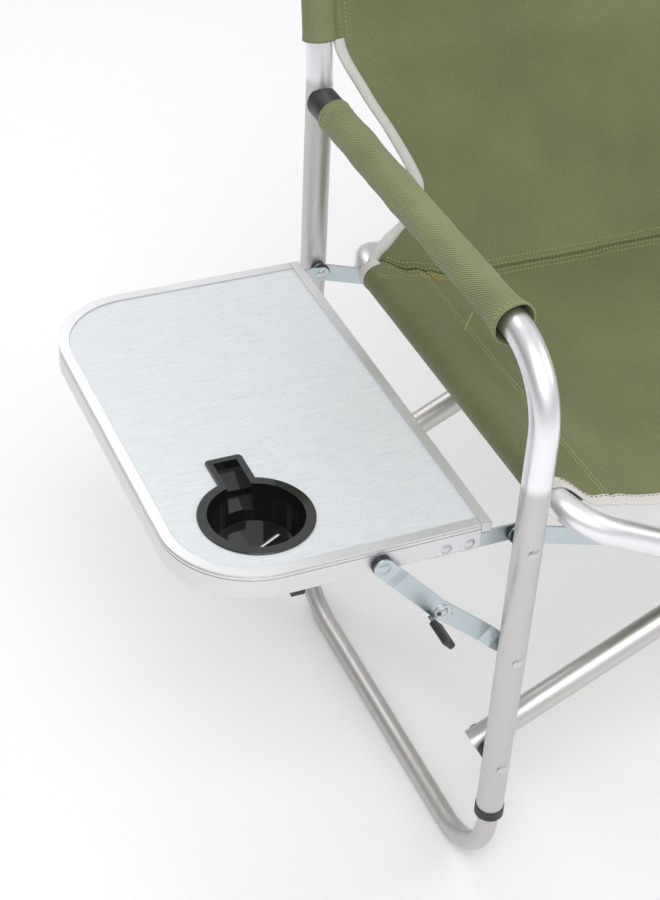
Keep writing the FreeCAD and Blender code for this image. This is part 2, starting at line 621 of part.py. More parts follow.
save("table_rim", table_rim())
save("table_side_rail", table_side_rail())
save("table_panel", table_panel())
save("cup_holder", cup_holder())
save("table_hinge_straps", table_strap(), flip(table_strap()))
save("table_rivets", *table_rivets())
save("table_brace_studs", *brace_studs())
save("table_stop_pad", stop_pad())
save("front_lower_brace", lower_brace())
save("rear_lower_brace", flip(lower_brace()))
save("brace_elbow_rivets", elbow_rivet(), flip(elbow_rivet()))
save("front_upper_brace", upper_brace())
save("rear_upper_brace", flip(upper_brace()))
save("brace_table_washers", brace_washer(), flip(brace_washer()))
save("brace_release_grips", grip(), flip(grip()))


# ---------------------------------------------------------------- fabric
def seat_cloth():
    """Seat sling: a sagging sheet joined to a sleeve around each seat rail."""
    r_in = TUBE_R + SOFT_GAP
    r_out = r_in + SLEEVE_T
    end_gap = RAIL_BEND + SLEEVE_CLEAR
    left = ring_y(RAIL_X, RAIL_Z, end_gap, LEG_B_REAR_Y - end_gap, r_out, r_in)
    right_span = (LEG_A_FRONT_Y + end_gap, LEG_A_REAR_Y - end_gap)
    right = ring_y(FRAME_SPAN - RAIL_X, RAIL_Z, *right_span, r_out, r_in)
    top_z = RAIL_Z + r_out - SHEET_T - 1.0
    x0, x1 = SEAT_EDGE_X, FRAME_SPAN - SEAT_EDGE_X
    low = Vector(FRAME_SPAN / 2, SEAT_FRONT_Y, top_z - SEAT_SAG)
    left_end, right_end = Vector(x0, SEAT_FRONT_Y, top_z - 3), Vector(x1, SEAT_FRONT_Y, top_z - 3)
    under = Part.Arc(left_end, low, right_end).toShape()
    over = under.copy()
    over.translate(Z * SHEET_T)
    ends = [Part.LineSegment(under.Vertexes[i].Point, over.Vertexes[i].Point).toShape() for i in (0, 1)]
    outline = Part.Wire(Part.__sortEdges__([under, over] + ends))
    sheet = Part.Face(outline).extrude(Y * (SEAT_REAR_Y - SEAT_FRONT_Y))
    pieces = [right, sheet]
    for x_rail, side, y0, y1 in ((RAIL_X, 1, end_gap, SEAT_REAR_Y),
                                 (FRAME_SPAN - RAIL_X, -1, *right_span)):
        a = Vector(x_rail + side * 4.0, y0, RAIL_Z + r_out - 1.9)
        b = Vector(x_rail + side * (SEAT_EDGE_X - RAIL_X + 0.5), y0, top_z - 3.0)
        web = Part.Face(Part.makePolygon([a, b, b + Z * SHEET_T, a + Z * 1.7, a])).extrude(Y * (y1 - y0))
        web = web.cut(cyl_y(x_rail, RAIL_Z, 0, 460, r_in))
        pieces.append(web)
    return left.fuse(pieces).removeSplitter()


def back_cloth():
    """Back sling: a sheet between the posts with a sleeve on each, and a skirt down to the seat."""
    lean = math.radians(POST_TOP_LEAN)
    way = Vector(0, math.sin(lean), math.cos(lean))
    low_z = BACK_LOW_Z
    length = (BACK_HIGH_Z - low_z) / math.cos(lean)
    r_in = TUBE_R + SOFT_GAP
    sleeves = []
    for x in (0.0, FRAME_SPAN):
        foot = Vector(x, post_y(low_z), low_z)
        sleeve = Part.makeCylinder(r_in + SLEEVE_T, length, foot, way)
        sleeves.append(sleeve.cut(Part.makeCylinder(r_in, length + 10, foot - way * 5, way)))
    corner = Vector(r_in + 0.3, post_y(low_z) - SHEET_T / 2, low_z)
    span = FRAME_SPAN - 2 * (r_in + 0.3)
    outline = [corner, corner + X * span, corner + X * span + way * length, corner + way * length, corner]
    sheet = Part.Face(Part.makePolygon(outline)).extrude(Y * SHEET_T)
    rear = Vector(SKIRT_X, SEAT_REAR_Y + 3.0, RAIL_Z - 5.0)
    top = Vector(SKIRT_X, post_y(low_z) - SHEET_T / 2, low_z)
    side = [rear, rear + Y * SHEET_T, top + Y * SHEET_T, top, rear]
    skirt = Part.Face(Part.makePolygon(side)).extrude(X * (FRAME_SPAN - 2 * SKIRT_X))
    return sleeves[0].fuse([sleeves[1], sheet, skirt]).removeSplitter()


save("seat_cloth", seat_cloth())
save("back_cloth", back_cloth())

# ---------------------------------------------------------------- export
box = Part.makeCompound(list(made.values())).optimalBoundingBox()
origin = Vector(-(box.XMin + box.XMax) / 2, -(box.YMin + box.YMax) / 2, 0)
for name, shape in made.items():
    placed = shape.copy()
    placed.translate(origin)
    placed.exportStep("parts/" + name + ".step")
print("nodes", len(made), "origin", [round(v, 3) for v in origin], "box",
      [round(v, 2) for v in (box.XMin, box.XMax, box.YMin, box.YMax, box.ZMin, box.ZMax)])
print("leg length", round(LEG_LEN, 2), "centre z", round(CENTRE_Z, 2), "link pin z", round(LINK_PIN_Z, 2))
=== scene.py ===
import math

import bpy
from mathutils import Matrix, Vector, noise


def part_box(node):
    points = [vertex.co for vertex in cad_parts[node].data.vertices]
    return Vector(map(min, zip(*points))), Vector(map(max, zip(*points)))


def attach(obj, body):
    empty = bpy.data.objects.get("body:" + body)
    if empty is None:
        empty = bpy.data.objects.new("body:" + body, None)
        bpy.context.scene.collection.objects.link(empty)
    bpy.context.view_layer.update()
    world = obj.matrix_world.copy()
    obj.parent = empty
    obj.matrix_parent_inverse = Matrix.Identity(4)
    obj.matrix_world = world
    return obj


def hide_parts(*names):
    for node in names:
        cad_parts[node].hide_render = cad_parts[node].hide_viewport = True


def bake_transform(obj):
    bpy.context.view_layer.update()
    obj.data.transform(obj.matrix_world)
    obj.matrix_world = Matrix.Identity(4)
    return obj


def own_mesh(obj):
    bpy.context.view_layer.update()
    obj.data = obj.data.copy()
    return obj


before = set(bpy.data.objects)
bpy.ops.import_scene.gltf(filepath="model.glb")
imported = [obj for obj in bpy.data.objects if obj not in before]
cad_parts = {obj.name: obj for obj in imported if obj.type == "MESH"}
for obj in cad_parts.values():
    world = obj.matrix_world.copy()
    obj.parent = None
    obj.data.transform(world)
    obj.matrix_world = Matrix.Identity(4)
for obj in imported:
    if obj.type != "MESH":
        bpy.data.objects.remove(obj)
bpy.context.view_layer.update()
scene = bpy.context.scene

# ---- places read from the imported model, in metres ----
leg_lo, leg_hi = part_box("left_front_leg_and_arm")
right_lo, right_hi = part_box("right_front_leg_and_arm")
outer_lo, outer_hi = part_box("outer_cross_leg")
inner_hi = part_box("inner_cross_leg")[1]
post_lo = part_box("left_rear_post")[0]
TUBE = (leg_hi.x - leg_lo.x) / 2
LEFT_X = (leg_lo.x + leg_hi.x) / 2
RIGHT_X = (right_lo.x + right_hi.x) / 2
FRONT_Y = leg_lo.y + TUBE
ARM_Z = leg_hi.z - TUBE
RAIL_LEFT = outer_lo.x + TUBE
RAIL_RIGHT = inner_hi.x - TUBE
RAIL_Z = outer_hi.z - TUBE
POST_LOW_Y = post_lo.y + TUBE
SPAN = RIGHT_X - LEFT_X
LOOP = TUBE + 0.00115          # middle of the cloth around a tube


def at(x, y, z):
    """A point given in mm from the left front leg's axis and the floor."""
    return Vector((LEFT_X + x / 1000, FRONT_Y + y / 1000, z / 1000))


def ease(t):
    t = max(0.0, min(1.0, t))
    return t * t * (3 - 2 * t)


def table_value(points, x):
    """Smooth value at x from a list of (x, value)."""
    if x <= points[0][0]:
        return points[0][1]
    for i in range(len(points) - 1):
        (x0, v0), (x1, v1) = points[i], points[i + 1]
        if x <= x1:
            before = points[max(0, i - 1)]
            after = points[min(len(points) - 1, i + 2)]
            m0 = (v1 - before[1]) / (x1 - before[0]) * (x1 - x0)
            m1 = (after[1] - v0) / (after[0] - x0) * (x1 - x0)
            t = (x - x0) / (x1 - x0)
            return ((2 * t ** 3 - 3 * t ** 2 + 1) * v0 + (t ** 3 - 2 * t ** 2 + t) * m0
                    + (3 * t ** 2 - 2 * t ** 3) * v1 + (t ** 3 - t ** 2) * m1)
    return points[-1][1]


# ---------------------------------------------------------------- materials
def new_material(name):
    mat = bpy.data.materials.new(name)
    mat.use_nodes = True
    tree = mat.node_tree
    return mat, tree, tree.nodes["Principled BSDF"]


def node(tree, kind, **inputs):
    made = tree.nodes.new(kind)
    for key, value in inputs.items():
        made.inputs[key.replace("_", " ")].default_value = value
    return made


def scaled(tree, source, scale):
    """Texture coordinates from source, scaled."""
    coords = tree.nodes.new("ShaderNodeTexCoord")
    mapping = tree.nodes.new("ShaderNodeMapping")
    mapping.inputs["Scale"].default_value = scale
    tree.links.new(coords.outputs[source], mapping.inputs["Vector"])
    return mapping.outputs["Vector"]


def noise_node(tree, vector, scale, detail=3.0, roughness=0.5):
    made = node(tree, "ShaderNodeTexNoise", Scale=scale, Detail=detail, Roughness=roughness)
    tree.links.new(vector, made.inputs["Vector"])
    return made.outputs["Fac"]


def remap(tree, value, low, high, to_low, to_high):
    made = tree.nodes.new("ShaderNodeMapRange")
    made.interpolation_type = "SMOOTHSTEP"
    for key, number in (("From Min", low), ("From Max", high), ("To Min", to_low), ("To Max", to_high)):
        made.inputs[key].default_value = number
    tree.links.new(value, made.inputs["Value"])
    return made.outputs["Result"]


def math_node(tree, operation, a, b):
    made = tree.nodes.new("ShaderNodeMath")
    made.operation = operation
    for socket, value in zip(made.inputs, (a, b)):
        if isinstance(value, (int, float)):
            socket.default_value = value
        else:
            tree.links.new(value, socket)
    return made.outputs[0]


def mix_color(tree, factor, a, b):
    made = tree.nodes.new("ShaderNodeMix")
    made.data_type = "RGBA"
    for socket, value in ((made.inputs[0], factor), (made.inputs[6], a), (made.inputs[7], b)):
        if isinstance(value, (int, float)):
            socket.default_value = value
        elif isinstance(value, tuple):
            socket.default_value = (*value, 1.0)
        else:
            tree.links.new(value, socket)
    return made.outputs[2]


def bump(tree, bsdf, height, distance, strength=1.0, normal=None):
    made = node(tree, "ShaderNodeBump", Strength=strength, Distance=distance)
    tree.links.new(height, made.inputs["Height"])
    if normal is not None:
        tree.links.new(normal, made.inputs["Normal"])
    tree.links.new(made.outputs["Normal"], bsdf.inputs["Normal"])


def soft_edges(tree, radius):
    made = tree.nodes.new("ShaderNodeBevel")
    made.samples = 4
    made.inputs["Radius"].default_value = radius
    return made.outputs["Normal"]


POLISH_FADE = 0.006            # half width of the change from satin to polished, in metres
TWILL_PITCH = 0.0019           # between the canvas's ribs
TAPE_PITCH = 0.0011            # between the binding's ribs
WAVE = 0.314                   # a wave texture's scale is this over its pitch


def tube_metal(name, zones, stretch):
    """Satin anodised tube, polished where all the (axis, low, high) bands of any zone hold."""
    mat, tree, bsdf = new_material(name)
    place = scaled(tree, "Object", (1, 1, 1))
    split = tree.nodes.new("ShaderNodeSeparateXYZ")
    tree.links.new(place, split.inputs[0])
    polish = None
    for zone in zones:
        inside = None
        for axis, low, high in zone:
            value = split.outputs["XYZ".index(axis)]
            up = remap(tree, value, low - POLISH_FADE, low + POLISH_FADE, 0, 1)
            down = remap(tree, value, high - POLISH_FADE, high + POLISH_FADE, 1, 0)
            band = math_node(tree, "MULTIPLY", up, down)
            inside = band if inside is None else math_node(tree, "MULTIPLY", inside, band)
        polish = inside if polish is None else math_node(tree, "MAXIMUM", polish, inside)
    if polish is None:
        polish = math_node(tree, "ADD", 0.0, 0.0)
    cloudy = noise_node(tree, scaled(tree, "Object", stretch), 1.0, 4.0, 0.6)
    dull = mix_color(tree, cloudy, (0.56, 0.545, 0.53), (0.64, 0.625, 0.61))
    tree.links.new(mix_color(tree, polish, dull, (0.88, 0.88, 0.90)), bsdf.inputs["Base Color"])
    bsdf.inputs["Metallic"].default_value = 1.0
    rough = remap(tree, polish, 0, 1, 0.42, 0.35)
    rough = math_node(tree, "ADD", rough, remap(tree, cloudy, 0.3, 0.7, -0.03, 0.05))
    tree.links.new(rough, bsdf.inputs["Roughness"])
    grain = noise_node(tree, scaled(tree, "Object", (900, 900, 900)), 1.0, 2.0)
    bump(tree, bsdf, grain, 0.00003, 0.5)
    return mat


def zinc():
    mat, tree, bsdf = new_material("zinc_plate")
    cloudy = noise_node(tree, scaled(tree, "Object", (40, 40, 40)), 1.0, 4.0)
    tone = mix_color(tree, cloudy, (0.42, 0.50, 0.54), (0.60, 0.66, 0.68))
    tree.links.new(tone, bsdf.inputs["Base Color"])
    bsdf.inputs["Metallic"].default_value = 1.0
    tree.links.new(remap(tree, cloudy, 0.3, 0.7, 0.24, 0.40), bsdf.inputs["Roughness"])
    grain = noise_node(tree, scaled(tree, "Object", (500, 500, 500)), 1.0, 2.0)
    bump(tree, bsdf, grain, 0.00004, 0.4, soft_edges(tree, 0.0005))
    return mat


def rivet_metal():
    mat, tree, bsdf = new_material("rivet_metal")
    cloudy = noise_node(tree, scaled(tree, "Object", (150, 150, 150)), 1.0, 3.0)
    tone = mix_color(tree, cloudy, (0.50, 0.51, 0.53), (0.70, 0.71, 0.72))
    tree.links.new(tone, bsdf.inputs["Base Color"])
    bsdf.inputs["Metallic"].default_value = 1.0
    tree.links.new(remap(tree, cloudy, 0.3, 0.7, 0.22, 0.36), bsdf.inputs["Roughness"])
    return mat


def rim_metal():
    """Extruded aluminium with fine drawing lines along its length."""
    mat, tree, bsdf = new_material("rim_metal")
    lines = noise_node(tree, scaled(tree, "Object", (8, 8, 2600)), 1.0, 3.0)
    tone = mix_color(tree, lines, (0.64, 0.64, 0.65), (0.78, 0.78, 0.79))
    tree.links.new(tone, bsdf.inputs["Base Color"])
    bsdf.inputs["Metallic"].default_value = 1.0
    tree.links.new(remap(tree, lines, 0.3, 0.7, 0.38, 0.50), bsdf.inputs["Roughness"])
    bump(tree, bsdf, lines, 0.00004, 0.4, soft_edges(tree, 0.0004))
    return mat


def laminate():
    """Pale laminate printed with a short brushed grain."""
    mat, tree, bsdf = new_material("brushed_laminate")
    long_grain = noise_node(tree, scaled(tree, "Object", (55, 1500, 1)), 1.0, 4.0, 0.7)
    short_grain = noise_node(tree, scaled(tree, "Object", (260, 2600, 1)), 1.0, 2.0, 0.6)
    grain = math_node(tree, "ADD", math_node(tree, "MULTIPLY", long_grain, 0.6),
                      math_node(tree, "MULTIPLY", short_grain, 0.4))
    base = mix_color(tree, remap(tree, grain, 0.36, 0.64, 0, 1), (0.56, 0.60, 0.62), (0.70, 0.725, 0.74))
    tree.links.new(base, bsdf.inputs["Base Color"])
    bsdf.inputs["Metallic"].default_value = 0.15
    tree.links.new(remap(tree, grain, 0.3, 0.7, 0.34, 0.46), bsdf.inputs["Roughness"])
    bump(tree, bsdf, grain, 0.00003, 0.35)
    return mat


def plastic(name, color, roughness, grain_size, grain_depth, coat=0.0):
    mat, tree, bsdf = new_material(name)
    place = scaled(tree, "Object", (1, 1, 1))
    mottle = noise_node(tree, place, 60.0, 3.0)
    lighter = tuple(c * 1.5 + 0.002 for c in color)
    tree.links.new(mix_color(tree, mottle, color, lighter), bsdf.inputs["Base Color"])
    rough = remap(tree, mottle, 0.3, 0.7, roughness * 0.9, roughness * 1.15)
    tree.links.new(rough, bsdf.inputs["Roughness"])
    bsdf.inputs["Coat Weight"].default_value = coat
    grain = noise_node(tree, place, grain_size, 2.0)
    bump(tree, bsdf, grain, grain_depth, 0.5, soft_edges(tree, 0.0005))
    return mat


def canvas(name, dark, light, rib, relief=0.00022, slant=40):
    """Twilled polyester: fine uneven diagonal ribs over thread noise, from UVs in metres.

    rib is the ribs' share of the relief, and slant their angle to the cloth in degrees."""
    mat, tree, bsdf = new_material(name)
    uv = scaled(tree, "UV", (1, 1, 1))
    diagonal = tree.nodes.new("ShaderNodeMapping")
    diagonal.inputs["Rotation"].default_value = (0, 0, math.radians(slant))
    tree.links.new(uv, diagonal.inputs["Vector"])
    ribs = node(tree, "ShaderNodeTexWave", Scale=WAVE / TWILL_PITCH, Distortion=1.6)
    ribs.inputs["Detail"].default_value = 2.0
    ribs.inputs["Detail Scale"].default_value = 0.35
    tree.links.new(diagonal.outputs["Vector"], ribs.inputs["Vector"])
    stretch = tree.nodes.new("ShaderNodeMapping")
    stretch.inputs["Scale"].default_value = (1500, 160, 1)
    tree.links.new(diagonal.outputs["Vector"], stretch.inputs["Vector"])
    fibres = noise_node(tree, stretch.outputs["Vector"], 1.0, 3.0, 0.6)
    height = math_node(tree, "ADD", math_node(tree, "MULTIPLY", ribs.outputs["Fac"], rib),
                       math_node(tree, "MULTIPLY", fibres, 1 - rib))
    # Large soft lighter patches in the cloth's colour are painted sheen on its creases.
    painted_sheen = noise_node(tree, uv, 7.0, 4.0, 0.55)
    slub = noise_node(tree, scaled(tree, "UV", (1300, 1300, 1)), 1.0, 2.0)
    tone = math_node(tree, "ADD", math_node(tree, "MULTIPLY", height, 0.40),
                     math_node(tree, "ADD", math_node(tree, "MULTIPLY", painted_sheen, 0.32),
                               math_node(tree, "MULTIPLY", slub, 0.28)))
    color = mix_color(tree, remap(tree, tone, 0.28, 0.72, 0, 1), dark, light)
    tree.links.new(color, bsdf.inputs["Base Color"])
    bsdf.inputs["Roughness"].default_value = 0.72
    bsdf.inputs["Sheen Weight"].default_value = 0.12
    bsdf.inputs["Sheen Roughness"].default_value = 0.45
    bump(tree, bsdf, height, relief, 0.6)
    return mat


def tape_cloth():
    """Pale grey woven binding."""
    mat, tree, bsdf = new_material("binding_tape")
    uv = scaled(tree, "UV", (1, 1, 1))
    ribs = node(tree, "ShaderNodeTexWave", Scale=WAVE / TAPE_PITCH, Distortion=0.4)
    ribs.bands_direction = "X"
    tree.links.new(uv, ribs.inputs["Vector"])
    fuzz = noise_node(tree, uv, 500.0, 2.0)
    height = math_node(tree, "ADD", math_node(tree, "MULTIPLY", ribs.outputs["Fac"], 0.6),
                       math_node(tree, "MULTIPLY", fuzz, 0.4))
    tone = mix_color(tree, height, (0.50, 0.48, 0.45), (0.72, 0.70, 0.66))
    tree.links.new(tone, bsdf.inputs["Base Color"])
    bsdf.inputs["Roughness"].default_value = 0.85
    bsdf.inputs["Sheen Weight"].default_value = 0.2
    bump(tree, bsdf, height, 0.0003, 0.7)
    return mat


def thread(name, color):
    mat, tree, bsdf = new_material(name)
    fibre = noise_node(tree, scaled(tree, "Object", (2500, 2500, 2500)), 1.0, 2.0)
    shade = tuple(c * 0.7 for c in color)
    tree.links.new(mix_color(tree, fibre, shade, color), bsdf.inputs["Base Color"])
    bsdf.inputs["Roughness"].default_value = 0.8
    return mat


ABOVE_ALL = 1.0                # higher than any part of the chair, in metres
frame_metal = tube_metal("frame_tube_metal", [[("Z", ARM_Z - 0.112, ABOVE_ALL)]], (30, 30, 8))
cross_metal = tube_metal("cross_leg_metal", [[("Z", RAIL_Z - 0.055, ABOVE_ALL)]], (12, 12, 30))
floor_metal = tube_metal("floor_tube_metal", [], (30, 6, 30))
post_metal = tube_metal("post_metal", [[("Z", ARM_Z + 0.02, ABOVE_ALL)]], (30, 30, 8))
zinc_metal = zinc()
head_metal = rivet_metal()
edge_metal = rim_metal()
top_laminate = laminate()
matt_black = plastic("matt_black", (0.016, 0.016, 0.017), 0.42, 900.0, 0.00006)
gloss_black = plastic("gloss_black", (0.006, 0.007, 0.007), 0.10, 30.0, 0.00004, 0.5)
green = canvas("olive_canvas", (0.095, 0.110, 0.041), (0.200, 0.218, 0.098), 0.25)
# The arm covers and post sleeves use a lighter copy of the seat's olive canvas: painted light on the same
# cloth.
green_painted_lit = canvas("olive_canvas_sleeve", (0.105, 0.124, 0.048), (0.300, 0.322, 0.160), 0.65,
                      0.0004, -38)
tape_mat = tape_cloth()
pale_thread = thread("olive_thread", (0.44, 0.43, 0.20))
brown_thread = thread("brown_thread", (0.17, 0.11, 0.07))
gold_thread = thread("gold_thread", (0.36, 0.30, 0.09))


def paint(name, mat):
    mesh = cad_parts[name].data
    mesh.materials.clear()
    mesh.materials.append(mat)


FINISH = {
    "front_leg_and_arm": frame_metal, "rear_post": post_metal, "floor_tube": floor_metal,
    "leg_collars": matt_black, "post_cap": matt_black, "arm_saddle": matt_black, "arm_rivet": head_metal,
    "frame_bolts": head_metal, "frame_washers": matt_black, "front_seat_link": zinc_metal,
    "rear_seat_link": zinc_metal,
}
for side in ("left_", "right_"):
    for name, mat in FINISH.items():
        paint(side + name, mat)
for name, mat in {
    "inner_cross_leg": cross_metal, "outer_cross_leg": cross_metal, "centre_pivot_bolts": head_metal,
    "centre_pivot_spacers": matt_black, "inner_leg_link_rivets": head_metal,
    "outer_leg_link_rivets": head_metal, "table_rim": edge_metal, "table_side_rail": edge_metal,
    "table_panel": top_laminate, "cup_holder": gloss_black, "table_hinge_straps": zinc_metal,
    "table_rivets": head_metal, "table_brace_studs": head_metal, "table_stop_pad": matt_black,
    "front_lower_brace": zinc_metal, "rear_lower_brace": zinc_metal, "brace_elbow_rivets": head_metal,
    "front_upper_brace": zinc_metal, "rear_upper_brace": zinc_metal, "brace_release_grips": matt_black,
    "brace_table_washers": matt_black,
}.items():
    paint(name, mat)


# ---------------------------------------------------------------- mesh helpers
PANEL_T, SLEEVE_T, TAPE_T = 0.0012, 0.0011, 0.0005      # thickness of each cloth, in metres


def make_object(name, points, faces, mat, uvs=None):
    mesh = bpy.data.meshes.new(name)
    mesh.from_pydata([tuple(p) for p in points], [], faces)
    mesh.materials.append(mat)
    if uvs is not None:
        layer = mesh.uv_layers.new(name="UVMap")
        for loop in mesh.loops:
            layer.data[loop.index].uv = uvs[loop.vertex_index]
    mesh.polygons.foreach_set("use_smooth", [True] * len(mesh.polygons))
    mesh.update()
    obj = bpy.data.objects.new(name, mesh)
    scene.collection.objects.link(obj)
    return obj


def cloth(name, rows, mat, thickness, wrap=False):
    """A closed double-sided sheet from rows of middle points. wrap joins each row's ends into a tube."""
    count, width = len(rows), len(rows[0])
    along = [0.0]
    for i in range(1, count):
        along.append(along[-1] + (rows[i][width // 2] - rows[i - 1][width // 2]).length)
    across = [0.0]
    for j in range(1, width):
        across.append(across[-1] + (rows[count // 2][j] - rows[count // 2][j - 1]).length)
    faces_out, points, uvs = [], [], []
    for way in (0.5, -0.5):
        for i in range(count):
            for j in range(width):
                if wrap:
                    left, right = rows[i][j - 1], rows[i][(j + 1) % width]
                else:
                    left, right = rows[i][max(0, j - 1)], rows[i][min(width - 1, j + 1)]
                up, down = rows[max(0, i - 1)][j], rows[min(count - 1, i + 1)][j]
                normal = (right - left).cross(down - up)
                if normal.length > 0:
                    normal.normalize()
                points.append(rows[i][j] + normal * (thickness * way))
                uvs.append((across[j], along[i]))
    size = count * width
    last = width if wrap else width - 1
    for i in range(count - 1):
        for j in range(last):
            k = (j + 1) % width
            a, b, c, d = i * width + j, i * width + k, (i + 1) * width + k, (i + 1) * width + j
            faces_out.append((a, b, c, d))
            faces_out.append((size + d, size + c, size + b, size + a))
    for i in (0, count - 1):
        for j in range(last):
            a, b = i * width + j, i * width + (j + 1) % width
            face = (size + a, size + b, b, a)
            faces_out.append(face if i == 0 else face[::-1])
    if not wrap:
        for j in (0, width - 1):
            for i in range(count - 1):
                a, b = i * width + j, (i + 1) * width + j
                face = (a, b, size + b, size + a)
                faces_out.append(face if j == 0 else face[::-1])
    return make_object(name, points, faces_out, mat, uvs)


def walk(points, step):
    """Points and directions every step along a polyline."""
    found, left = [], step / 2
    for a, b in zip(points, points[1:]):
        way = b - a
        length = way.length
        if length == 0:
            continue
        place = left
        while place < length:
            found.append((a + way * (place / length), way / length))
            place += step
        left = place - length
    return found


def stitches(name, lines, mat, stitch=0.0030, gap=0.0011, radius=0.00042):
    """Rows of thread, each stitch a small six-sided spindle lying along its line."""
    points, faces = [], []
    for line in lines:
        for centre, way in walk(line, stitch + gap):
            side = way.cross(Vector((0.13, 0.29, 0.95))).normalized()
            lift = side.cross(way)
            base = len(points)
            points.append(centre - way * stitch / 2)
            for t in (-0.32, 0.32):
                for k in range(6):
                    a = k * math.pi / 3
                    outward = (side * math.cos(a) + lift * math.sin(a)) * radius
                    points.append(centre + way * (stitch * t) + outward)
            points.append(centre + way * stitch / 2)
            for k in range(6):
                n = (k + 1) % 6
                faces.append((base, base + 1 + n, base + 1 + k))
                faces.append((base + 1 + k, base + 1 + n, base + 7 + n, base + 7 + k))
                faces.append((base + 7 + k, base + 7 + n, base + 13))
    return make_object(name, points, faces, mat)


# ---------------------------------------------------------------- seat
# Places in the seat, back and armrest sections are in mm, as in at().
SEAT_REAR = 376.0                      # y of the seam between seat and back, away from the rails
SAG_LEFT, SAG_RIGHT = 164.0, 392.0     # between these x the seat hangs level
SEAT_LOW = 417.0                       # z of that level part
rail_l = (RAIL_LEFT - LEFT_X) * 1000
rail_r = (RAIL_RIGHT - LEFT_X) * 1000
rail_z = RAIL_Z * 1000
loop = LOOP * 1000
LEAVE = math.radians(18.4)             # how far past the top the cloth leaves the rail
TUCK = 3.0                             # how far the seat runs on under the back
SEAM_IN = 46.0                         # sleeve seam from the rail's axis


def seat_top(x, v):
    """Height of the seat's top layer. v runs from 0 at the front edge to 1 at the back seam."""
    x_l = rail_l + loop * math.sin(LEAVE)
    x_r = rail_r - loop * math.sin(LEAVE)
    top = rail_z + loop * math.cos(LEAVE)
    reach = min(1.0, (x - x_l) / (SAG_LEFT - x_l), (x_r - x) / (x_r - SAG_RIGHT))
    drop = (top - SEAT_LOW) * (1 - (1 - reach) ** 2)
    middle = ease((x - rail_l) / 150) * ease((rail_r - x) / 150)
    belly = 5.0 * middle * math.sin(math.pi * min(1.0, v * 1.05)) ** 0.8
    seam = min(abs(x - rail_l - SEAM_IN), abs(rail_r - SEAM_IN - x))
    groove = 1.3 * math.exp(-(seam / 2.6) ** 2) - 0.9 * math.exp(-((seam - 7) / 5.0) ** 2)
    crease = 0.5 * middle * math.sin(x * 0.045 + 3 * v) * math.sin(v * 9 + x * 0.013)
    inward = min(x - rail_l, rail_r - x)
    valley = 3.6 * math.exp(-((inward - 27) / 11) ** 2)
    return top - drop - belly + crease - groove - valley


# Edges and corner seam, as (x, y). The right-hand ones run inwards from the right rail, and
# FRONT_RIGHT is added to FRONT_LEFT.
FRONT_LEFT = [(0, 34), (40, 34), (50, 33), (56, 28), (62, 19), (70, 13), (98, 8.5), (125, 5.5), (150, 5),
              (600, 5)]
FRONT_RIGHT = [(0, 64), (10, 62), (20, 52), (34, 38), (60, 22), (100, 8), (140, 0), (700, 0)]
REAR_LEFT = [(-30, 398), (40, 398), (49, 396), (62, 391), (82, 384), (104, SEAT_REAR), (600, SEAT_REAR)]
CORNER_SEAM = [(0, 368), (24, 366), (38, 366), (60, 373), (84, 374), (104, 369)]
REAR_RIGHT = [(0, 360), (20, 363), (60, 372), (100, SEAT_REAR), (700, SEAT_REAR)]


def seat_front(x):
    """Y of the seat's front edge."""
    return table_value(FRONT_LEFT, x) + table_value(FRONT_RIGHT, rail_r - x)


def seat_rear(x):
    """Y of the seat's rear edge, where the back is sewn on."""
    if x < SPAN * 500:
        return table_value(REAR_LEFT, x)
    return table_value(REAR_RIGHT, rail_r - x)


def seat_columns():
    """Steps across the seat, as (kind, value): hem below, loop round the rail, top, loop, hem.

    value is x along the top, and the share of the way along a hem or a loop."""
    columns = []
    for k in range(8):
        columns.append(("tail_l", k / 8))
    for k in range(20):
        columns.append(("loop_l", k / 20))
    x_l = rail_l + loop * math.sin(LEAVE)
    x_r = rail_r - loop * math.sin(LEAVE)
    for k in range(201):
        columns.append(("top", x_l + (x_r - x_l) * k / 200))
    for k in range(1, 21):
        columns.append(("loop_r", k / 20))
    for k in range(1, 9):
        columns.append(("tail_r", k / 8))
    return columns


def seat_point(column, v, lift=0.0, y=None):
    """A point of the seat's cloth, lifted off it. y overrides the place that v gives."""
    kind, value = column
    if kind == "top":
        x = value
        y0 = seat_front(x)
        place = y0 + (seat_rear(x) + TUCK - y0) * v if y is None else y
        slope = (seat_top(x + 1, v) - seat_top(x - 1, v)) / 2
        normal = Vector((-slope, 1)).normalized()
        return at(x + normal.x * lift, place, seat_top(x, v) + normal.y * lift)
    side = -1 if kind.endswith("_l") else 1
    rail = rail_l if side < 0 else rail_r
    y0 = seat_front(rail)
    place = y0 + (seat_rear(rail) - y0) * v if y is None else y
    share = value if side < 0 else 1 - value
    if kind.startswith("loop"):
        angle = -math.pi / 2 - share * (math.pi + LEAVE)
        x = math.cos(angle) * (loop + lift)
        z = math.sin(angle) * (loop + lift)
        return at(rail + x if side < 0 else rail - x, place, rail_z + z)
    seam_x = rail - side * SEAM_IN
    seam_z = seat_top(seam_x, v) - 1.7
    start = Vector((seam_x, seam_z - lift))
    end = Vector((rail, rail_z - loop - lift))
    slack = 1.6 * math.sin(math.pi * share)
    spot = start.lerp(end, share)
    return at(spot.x, place, spot.y - slack)


COLUMNS = seat_columns()
SEAT_ROWS = 72
seat_rows = [[seat_point(c, i / SEAT_ROWS) for c in COLUMNS] for i in range(SEAT_ROWS + 1)]
seat = cloth("seat_panel", seat_rows, green, PANEL_T)


